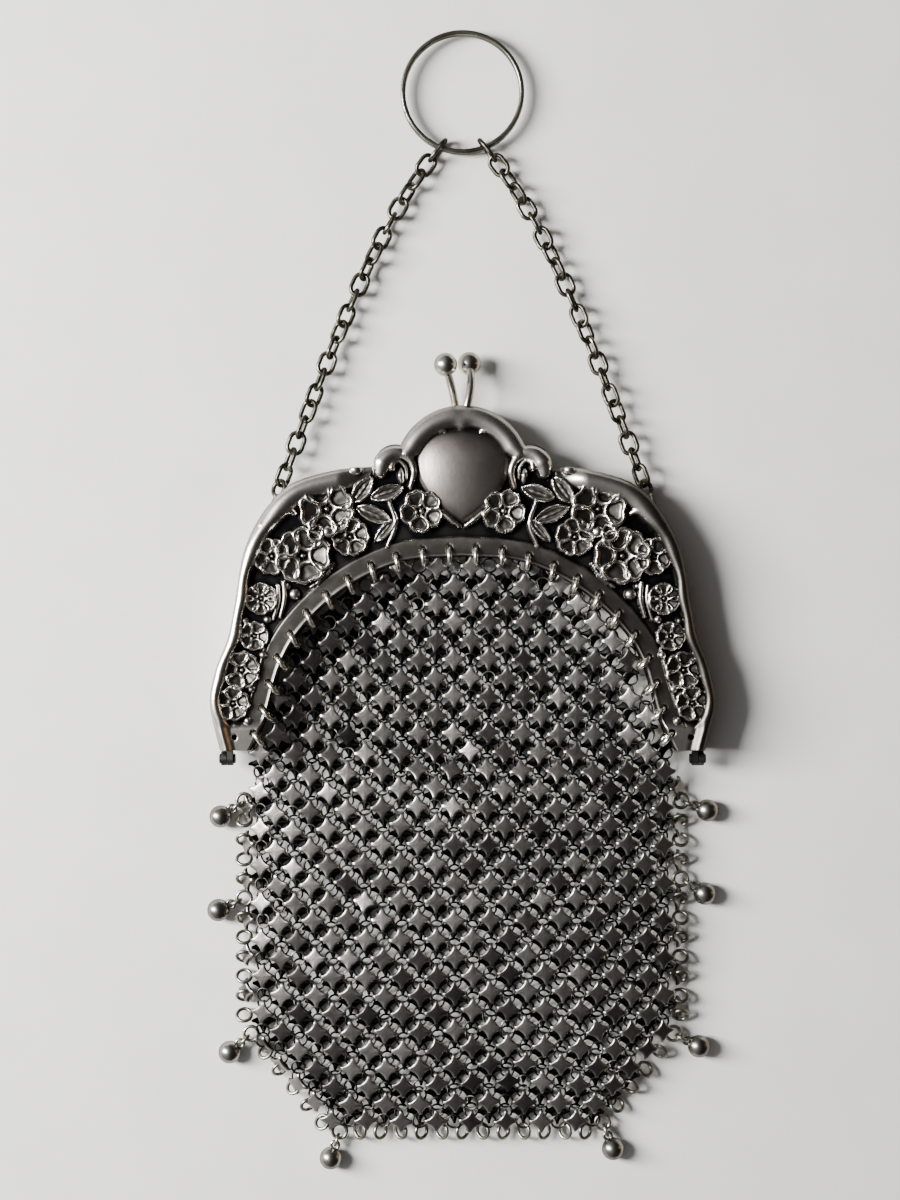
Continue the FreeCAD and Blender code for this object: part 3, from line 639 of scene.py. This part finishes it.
def frame_half(holes):
    """Points, faces and wear with painted shade of the front half; the back half is its mirror image.
    """
    outer_dense = frame_outline()
    mouth_dense = mouth_outline()
    outer, mouth = rulings(outer_dense, mouth_dense)
    share = np.linspace(0.0, 1.0, ROWS)[None, :, None]
    flat = outer[:, None, :] * (1.0 - share) + mouth[:, None, :] * share
    x, y = flat[..., 0].ravel(), flat[..., 1].ravel()
    z, outside_hole_shade = frame_heights(x, y, outer_dense, mouth_dense, holes)
    grid = z.reshape(COLUMNS, ROWS)

    # Raised metal is worn bright and hollows stay dark. The right rim and the right outer wall are
    # painted darker, as painted shade.
    cavity = 0.9 * (grid - blurred(grid, 60)) + 0.8 * (grid - blurred(grid, 6))
    level = (grid - RECESS_Z) / (RIM_TOP_Z - RECESS_Z)
    wear_and_shade = 0.13 + 0.42 * cavity + 0.46 * level + 0.07 * (level > 0.15)
    from_edge = distance_to(x, y, outer_dense).reshape(grid.shape)
    wear_and_shade = np.maximum(wear_and_shade, 0.5 * (1.0 - smoothstep(from_edge, 0.4, 1.4)))
    # painted shade: the right rim is darkened within about 3 mm of its outer edge
    right_rim_shade = smoothstep(x, 16.0, 33.0).reshape(grid.shape) * (1.0 - smoothstep(from_edge, 2.2, 3.4))
    # painted shade: the loop-hole dents are painted black
    wear_and_shade = np.clip(wear_and_shade * (1.0 - 0.6 * right_rim_shade), 0.0, 1.0) * outside_hole_shade.reshape(grid.shape)
    # outer wall: even wear, with painted shade that darkens it on the right
    wall_wear_and_shade = 0.55 - 0.33 * smoothstep(outer[:, 0], 16.0, 33.0)

    heading = np.gradient(outer, axis=0)
    heading /= np.hypot(heading[:, 0], heading[:, 1])[:, None]
    inner = outer + np.column_stack([-heading[:, 1], heading[:, 0]]) * WALL
    inner[:, 1] = np.maximum(inner[:, 1], FOOT_Y)

    def row(points, height):
        return np.column_stack([points, np.full(COLUMNS, height)])

    rows = [row(inner, WALL_LOW_Z), row(outer, WALL_LOW_Z), row(outer, WALL_BEND_Z)]
    rows += [np.column_stack([flat[:, j], grid[:, j]]) for j in range(ROWS)]
    rows += [row(mouth, UNDERSIDE_Z), row(inner, UNDERSIDE_Z)]
    paints = [np.full(COLUMNS, 0.1), wall_wear_and_shade, wall_wear_and_shade]
    paints += [wear_and_shade[:, j] for j in range(ROWS)]
    paints += [np.full(COLUMNS, w) for w in (0.2, 0.1)]
    points = np.vstack(rows)
    count = len(rows)
    faces = []
    for j in range(count):
        low, high = j * COLUMNS, ((j + 1) % count) * COLUMNS
        for i in range(COLUMNS - 1):
            faces.append((low + i, low + i + 1, high + i + 1, high + i))
    faces.append([j * COLUMNS for j in range(count)])
    faces.append([j * COLUMNS + COLUMNS - 1 for j in reversed(range(count))])
    return points, faces, np.concatenate(paints)


def make_frame_halves(materials):
    """Both halves in relief, dented where the wire loops of the front one pass through."""
    loops = loop_places("front_mesh_loops")
    middles = loops.mean(axis=1)
    holes = []
    for ring, middle in zip(loops, middles):
        spread = ring[:, :2] - middle[:2]
        far = spread[np.argmax(np.hypot(spread[:, 0], spread[:, 1]))]
        way = far / np.hypot(*far)
        ends = [middle[:2] + way * LOOP_REACH, middle[:2] - way * LOOP_REACH]
        holes.append(max(ends, key=lambda p: p[1]))
    points, faces, wear_and_shade = frame_half(holes)
    front = mesh_piece("front_frame_embossed", points, faces)
    mirrored = points * (1, 1, -1) + (0, 0, 2 * PARTING_Z)
    back = mesh_piece("back_frame_embossed", mirrored, [tuple(reversed(f)) for f in faces])
    for piece, body, node in ((front, "front_frame", "front_frame_shell"),
                              (back, "back_frame", "back_frame_shell")):
        paint(piece, "wear_and_shade", wear_and_shade)
        piece.data.materials.append(materials["frame"])
        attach(piece, body)
        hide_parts(node)


# ---------------------------------------------------------------- cartouche

def make_cartouches(materials):
    """A plain domed shield with a rounded top and a drawn-out point, for each half."""
    right = curve_through(SHIELD_SIDE, 24)
    ring = np.vstack([right[:-1], right[:0:-1] * (-1, 1)])
    centre = np.array([0.0, SHIELD_MIDDLE_Y])
    levels = np.linspace(0.0, 1.0, 40)[1:]
    points = [[*centre, SHIELD_TOP_Z]]
    wear_and_shade = [SHIELD_WEAR]
    for level in levels:
        for px, py in ring:
            x, y = centre + (np.array([px, py]) - centre) * level
            drop = (x ** 2 + 0.8 * (y - centre[1]) ** 2) / SHIELD_DOME
            drop += 0.3 * smoothstep(level, 0.9, 1.0)
            points.append([x, y, SHIELD_TOP_Z - drop])
            # darker towards the shield's edge, and painted shade across its top, under the arch
            shaded = 0.34 * smoothstep(level, 0.7, 1.0) + 0.25 * smoothstep(y, 22.0, 26.5)
            wear_and_shade.append(max(0.05, SHIELD_WEAR - shaded))
    for px, py in ring:
        points.append([px, py, SHIELD_BOTTOM_Z])
        wear_and_shade.append(0.0)
    size = len(ring)
    faces = [(0, 1 + i, 1 + (i + 1) % size) for i in range(size)]
    for j in range(len(levels)):
        low, high = 1 + j * size, 1 + (j + 1) * size
        for i in range(size):
            faces.append((low + i, high + i, high + (i + 1) % size, low + (i + 1) % size))
    faces.append([1 + len(levels) * size + i for i in range(size)])
    faces = [tuple(reversed(f)) for f in faces]
    points = np.array(points)
    for name, body, node, flip in (("front_shield", "front_frame", "front_cartouche", False),
                                   ("back_shield", "back_frame", "back_cartouche", True)):
        shape = points * (1, 1, -1) + (0, 0, 2 * PARTING_Z) if flip else points
        piece = mesh_piece(name, shape, [tuple(reversed(f)) for f in faces] if flip else faces)
        paint(piece, "wear_and_shade", wear_and_shade)
        piece.data.materials.append(materials["cartouche"])
        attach(piece, body)
        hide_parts(node)


# ---------------------------------------------------------------- star plates and mesh rings

def star_template():
    """One plate: four folded tips, concave sides and a bevelled edge. Returns points and faces."""
    reach, steps = STAR_REACH, 10
    tip_half, shoulder = 0.22, STAR_REACH - 0.14
    middle = 2.27
    radius = math.hypot(shoulder - middle, tip_half - middle)
    start = math.atan2(tip_half - middle, shoulder - middle) % math.tau
    end = math.atan2(shoulder - middle, tip_half - middle) % math.tau
    side = [(middle + radius * math.cos(t), middle + radius * math.sin(t))
            for t in np.linspace(start, end, steps)]
    quarter = [(reach, 0.0), (reach - 0.05, tip_half * 0.62)] + side + [(tip_half * 0.62, reach - 0.05)]
    outline = []
    for k in range(4):
        c, s = (1, 0, -1, 0)[k], (0, 1, 0, -1)[k]
        outline += [(x * c - y * s, x * s + y * c) for x, y in quarter]
    outline = np.array(outline)
    size = len(outline)
    distance = np.hypot(outline[:, 0], outline[:, 1])
    inward = outline / distance[:, None]
    rows = []
    profile = ((0.22, -0.62), (0.0, -0.36), (0.0, -0.16), (0.09, -0.03), (0.24, 0.0), (0.5, 0.015))
    for inset, drop in profile:
        place = outline - inward * inset * np.clip(distance / 1.4, 0.6, 1.3)[:, None]
        rho = np.hypot(place[:, 0], place[:, 1])
        fold = 1.2 * np.clip(rho - 1.5, 0.0, None) ** 2
        rows.append(np.column_stack([place, drop - fold]))
    centre_points = np.array([[0.0, 0.0, 0.03], [0.0, 0.0, -0.5]])
    points = np.vstack(rows + [centre_points])
    faces = []
    for j in range(len(rows) - 1):
        low, high = j * size, (j + 1) * size
        for i in range(size):
            n = (i + 1) % size
            faces.append((low + i, low + n, high + n, high + i))
    top, under = len(rows) * size, len(rows) * size + 1
    last = (len(rows) - 1) * size
    for i in range(size):
        n = (i + 1) % size
        faces.append((last + i, last + n, top))
        faces.append((i, under, n))
    tips = np.hypot(points[:, 0], points[:, 1]) / reach
    is_top = np.arange(len(points)) >= 2 * size
    is_top[-1] = False
    edge = (np.arange(len(points)) >= 2 * size) & (np.arange(len(points)) < 5 * size)
    wear_and_shade = np.where(is_top, 0.42 + 0.2 * edge + 0.25 * smoothstep(tips, 0.72, 0.95), 0.0)
    return points, faces, wear_and_shade


def ring_template(around=22, across=7):
    points, faces = [], []
    for i in range(around):
        a = math.tau * i / around
        for j in range(across):
            b = math.tau * j / across
            r = RING_R + RING_WIRE_R * math.cos(b)
            points.append((r * math.cos(a), r * math.sin(a), RING_WIRE_R * math.sin(b)))
    for i in range(around):
        for j in range(across):
            n, m = (i + 1) % around, (j + 1) % across
            faces.append((i * across + j, n * across + j, n * across + m, i * across + m))
    return np.array(points), faces


def pouch_half_width(y):
    share = np.clip((POUCH_CORNER_Y - y) / (POUCH_CORNER_Y - POUCH_BOTTOM_Y), 0.0, 1.0)
    return POUCH_HALF_WIDTH + (POUCH_BOTTOM_HALF_WIDTH - POUCH_HALF_WIDTH) * share


def from_mouth_edge(x, y):
    """Distance to the mouth edge, above the feet."""
    edge = mouth_points
    return np.sqrt(((edge - np.array([float(x), max(float(y), FOOT_Y)])) ** 2).sum(axis=1).min())


def front_height(x, y):
    """Outside of the front sheet: it sags a little inside the mouth, then crowns over the pouch."""
    share = np.clip((-50.0 - y) / 34.8, 0.0, 1.0)
    crown = 6.7 - 3.3 * share ** 2
    half = pouch_half_width(y) + 0.4
    across = np.clip(np.abs(x) / half, 0.0, 1.0)
    pillow = EDGE_Z + (crown - EDGE_Z) * (1.0 - across ** 3) ** (1.0 / 3.0)
    folds = 0.24 * np.sin(x * 0.21 + y * 0.13) + 0.18 * np.sin(y * 0.33 - x * 0.11 + 1.0)
    pillow += folds * (1.0 - across ** 4)
    inside_mouth = smoothstep(y, -31.0, -22.0)
    sag = MESH_SAG * smoothstep(from_mouth_edge(x, y), 0.5, 7.0)
    in_frame = MESH_TOP_Z - sag + 0.12 * np.sin(x * 0.4)
    return pillow * (1.0 - inside_mouth) + in_frame * inside_mouth


def back_height(x, y):
    """Outside of the back sheet, as its lowest surface: it rises to the flange round the mouth."""
    half = pouch_half_width(y) + 0.4
    rim = smoothstep(np.abs(x), half - 4.0, half) * smoothstep(-y, 24.0, 30.0)
    rim = np.maximum(rim, smoothstep(-y, 81.5, 85.5))
    near_flange = 1.0 - smoothstep(from_mouth_edge(x, y), 1.5, 7.0)
    lift = BACK_LIFT * near_flange * smoothstep(y, -29.0, -22.0)
    return BACK_LOW_Z + (EDGE_Z - 0.75) * rim + lift


def skin_places(swapped, shift_y, plate_overhang, ring_overhang=-0.3):
    """Plate centres and ring centres of a sheet, on two interleaved diagonal lattices.

    The overhangs say how far past the pouch's edge a plate or ring may be centred."""
    side = mouth_points[: len(mouth_points) // 2 + 1]
    order = np.argsort(side[:, 1])
    plates, rings = [], []
    for j in range(SKIN_ROWS):
        y = POUCH_BOTTOM_Y + 1.3 + shift_y + STAR_DY * j
        for i in range(-SKIN_HALF_COLUMNS, SKIN_HALF_COLUMNS + 1):
            x = (i + 0.5) * STAR_DX
            is_plate = (i + j + swapped) % 2 == 0
            if y < NECK_TOP_Y:
                width = float(pouch_half_width(y))
                width += plate_overhang if is_plate else ring_overhang
                if y > POUCH_TOP_Y + 1.0:
                    width = NECK_HALF_WIDTH
                inside = abs(x) <= width
            else:
                edge_x = float(np.interp(y, side[order, 1], side[order, 0]))
                inside = abs(x) < edge_x and y < MOUTH_SIDE[-1][1]
                inside = inside and from_mouth_edge(x, y) > (0.75 if is_plate else 0.4)
            if inside:
                (plates if is_plate else rings).append((x, y))
    return np.array(plates), np.array(rings)


def drift(x, y):
    """How far the drape pulls a plate away from the even lattice."""
    dx = 0.35 * np.sin(y / 13.0 + 0.6) + 0.2 * np.sin(x / 7.0 + y / 9.0)
    dy = 0.55 * np.sin(x / 15.0 + 1.1) + 0.3 * np.sin(x / 6.5 - y / 11.0)
    fade = smoothstep(pouch_half_width(y) - np.abs(x), 0.0, 6.0) * smoothstep(y, -84.0, -76.0)
    fade = fade * (1.0 - smoothstep(y, -30.0, -20.0)) + 0.25 * smoothstep(y, -30.0, -20.0)
    return dx * fade, dy * fade


def scattered(places, template, faces, height, flip, sink, seed, tilt, turn, wear_and_shade, wear_spread):
    """Copies of a small template laid over a surface, each with a little tilt of its own."""
    chance = random.Random(seed)
    all_points, all_faces, all_wear = [], [], []
    start = 0
    for x, y in places:
        sx, sy = drift(np.array(x), np.array(y))
        x, y = float(x + sx), float(y + sy)
        z = float(height(x, y))
        step = 0.8
        slope_x = (float(height(x + step, y)) - float(height(x - step, y))) / (2 * step)
        slope_y = (float(height(x, y + step)) - float(height(x, y - step))) / (2 * step)
        normal = Vector((-slope_x, -slope_y, 1.0)).normalized()
        if flip:
            normal = -normal
        spin = Matrix.Rotation(math.radians(chance.gauss(0.0, turn)), 3, "Z")
        lean_angle = math.radians(chance.gauss(0.0, tilt))
        lean_axis = Vector((chance.uniform(-1, 1), chance.uniform(-1, 1), 0.001)).normalized()
        lean = Matrix.Rotation(lean_angle, 3, lean_axis)
        across = Vector((1.0, 0.0, 0.0))
        across = (across - normal * across.dot(normal)).normalized()
        along = normal.cross(across)
        basis = Matrix((across, along, normal)).transposed()
        whole = np.array(basis @ spin @ lean)
        at = np.array((x, y, z)) - np.array(normal) * sink
        at += np.array((chance.gauss(0, PLATE_JITTER), chance.gauss(0, PLATE_JITTER), 0.0))
        all_points.append(template @ whole.T + at)
        all_faces += [tuple(start + i for i in face) for face in faces]
        shade = chance.gauss(0.0, wear_spread)
        all_wear.append(np.clip(wear_and_shade * (1.0 + shade), 0.0, 1.0))
        start += len(template)
    return np.vstack(all_points), all_faces, np.concatenate(all_wear)


def make_skins(materials):
    """The front and back sheets, each a layer of star plates over a layer of rings."""
    star_points, star_faces, star_wear = star_template()
    ring_points, ring_faces = ring_template()
    ring_wear = np.full(len(ring_points), RING_WEAR)
    front_lattice = dict(swapped=0, shift_y=0.0, plate_overhang=0.55)
    back_lattice = dict(swapped=1, shift_y=BACK_SHIFT_Y, plate_overhang=-0.9)
    sheets = (("front", front_height, False, 11, front_lattice,
               ("front_mesh_upper", "front_mesh_lower")),
              ("back", back_height, True, 23, back_lattice, ("back_mesh",)))
    for side, height, flip, seed, lattice, nodes in sheets:
        plates, rings = skin_places(**lattice)
        points, faces, wear_and_shade = scattered(plates, star_points, star_faces, height, flip, 0.0, seed,
                                        STAR_TILT, STAR_TURN, star_wear, STAR_WEAR_SPREAD)
        if not flip:
            # painted shadow of the frame: front plates near the mouth edge are darkened, more on the
            # left
            frame_shadow = np.exp(-distance_to(points[:, 0], points[:, 1], mouth_points) / 3.5)
            wear_and_shade = wear_and_shade * (1.0 - 0.45 * frame_shadow * smoothstep(-points[:, 0], -10.0, 10.0))
        stars = mesh_piece(side + "_star_plates", points, faces)
        points, faces, wear_r = scattered(rings, ring_points, ring_faces, height, flip, RING_SINK,
                                          seed + 1, RING_TILT, RING_TURN, ring_wear,
                                          RING_WEAR_SPREAD)
        links = mesh_piece(side + "_mesh_rings", points, faces)
        for piece, values, material in ((stars, wear_and_shade, "star"), (links, wear_r, "ring_wire")):
            paint(piece, "wear_and_shade", values)
            piece.data.materials.append(materials[material])
            if flip:
                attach(piece, "back_frame")
            else:
                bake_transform(piece)
        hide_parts(*nodes)


# ---------------------------------------------------------------- carried-over parts

def dress_cad_parts(materials):
    """Materials for the CAD parts that already have their true shape."""
    kinds = {"mesh_loops": "wire", "edge_rings": "edge_wire", "drop_ring": "edge_wire",
             "drop_ball": "ball", "chain_links": "chain", "chain_eyelets": "chain",
             "finger_ring": "finger", "clasp_post": "clasp", "clasp_ball": "clasp",
             "hinge": "lug"}
    for name, node in frame["nodes"].items():
        for word, kind in kinds.items():
            if word in name:
                node.data.materials.clear()
                node.data.materials.append(materials[kind])
                break


# ---------------------------------------------------------------- stage

def make_stage():
    mesh = bpy.data.meshes.new("floor")
    half = FLOOR_HALF_WIDTH
    mesh.from_pydata([(-half, -half, 0), (half, -half, 0), (half, half, 0), (-half, half, 0)], [],
                     [(0, 1, 2, 3)])
    floor = bpy.data.objects.new("floor", mesh)
    bpy.context.collection.objects.link(floor)
    floor.data.materials.append(floor_material())


def area_light(name, place, target, size, power, colour):
    light = bpy.data.lights.new(name, "AREA")
    light.shape = "RECTANGLE"
    light.size, light.size_y = size
    light.energy = power
    light.color = colour
    lamp = bpy.data.objects.new(name, light)
    lamp.location = place
    lamp.rotation_euler = (Vector(target) - Vector(place)).to_track_quat("-Z", "Y").to_euler()
    bpy.context.collection.objects.link(lamp)


def make_light():
    middle = (0.0, 0.0, 0.0)
    area_light("window", WINDOW_PLACE, middle, WINDOW_SIZE, WINDOW_POWER, (1.0, 0.99, 0.97))
    area_light("warm_side", WARM_PLACE, middle, WARM_SIZE, WARM_POWER, (1.0, 0.55, 0.25))
    world = bpy.data.worlds.new("studio")
    bpy.context.scene.world = world
    world.use_nodes = True
    nodes, links = world.node_tree.nodes, world.node_tree.links
    background = nodes["Background"]
    place = nodes.new("ShaderNodeTexCoord")
    split = nodes.new("ShaderNodeSeparateXYZ")
    links.new(place.outputs["Generated"], split.inputs[0])
    lean_x = maths(nodes, links, "MULTIPLY", split.outputs["X"], SKY_LEAN_X)
    lean_y = maths(nodes, links, "MULTIPLY", split.outputs["Y"], SKY_LEAN_Y)
    lean = maths(nodes, links, "ADD", lean_x, lean_y)
    sky = ramp(nodes, SKY_STOPS)
    links.new(maths(nodes, links, "ADD", maths(nodes, links, "MULTIPLY", lean, 0.5), 0.5),
              sky.inputs["Fac"])
    links.new(sky.outputs["Color"], background.inputs["Color"])
    background.inputs["Strength"].default_value = SKY_STRENGTH


def make_camera():
    camera = bpy.data.objects.new("camera", bpy.data.cameras.new("camera"))
    bpy.context.collection.objects.link(camera)
    camera.location = CAMERA_PLACE
    camera.data.sensor_fit = "VERTICAL"
    camera.data.angle_y = math.radians(CAMERA_ANGLE)
    camera.data.clip_start = 0.01
    bpy.context.scene.camera = camera


# ---------------------------------------------------------------- build

for leftover in list(bpy.data.objects):
    bpy.data.objects.remove(leftover)
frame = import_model()
mouth_points = resampled(mouth_outline(), np.linspace(0.0, 1.0, 700))
materials = make_materials()
make_frame_halves(materials)
make_cartouches(materials)
make_skins(materials)
dress_cad_parts(materials)
make_stage()
make_light()
make_camera()
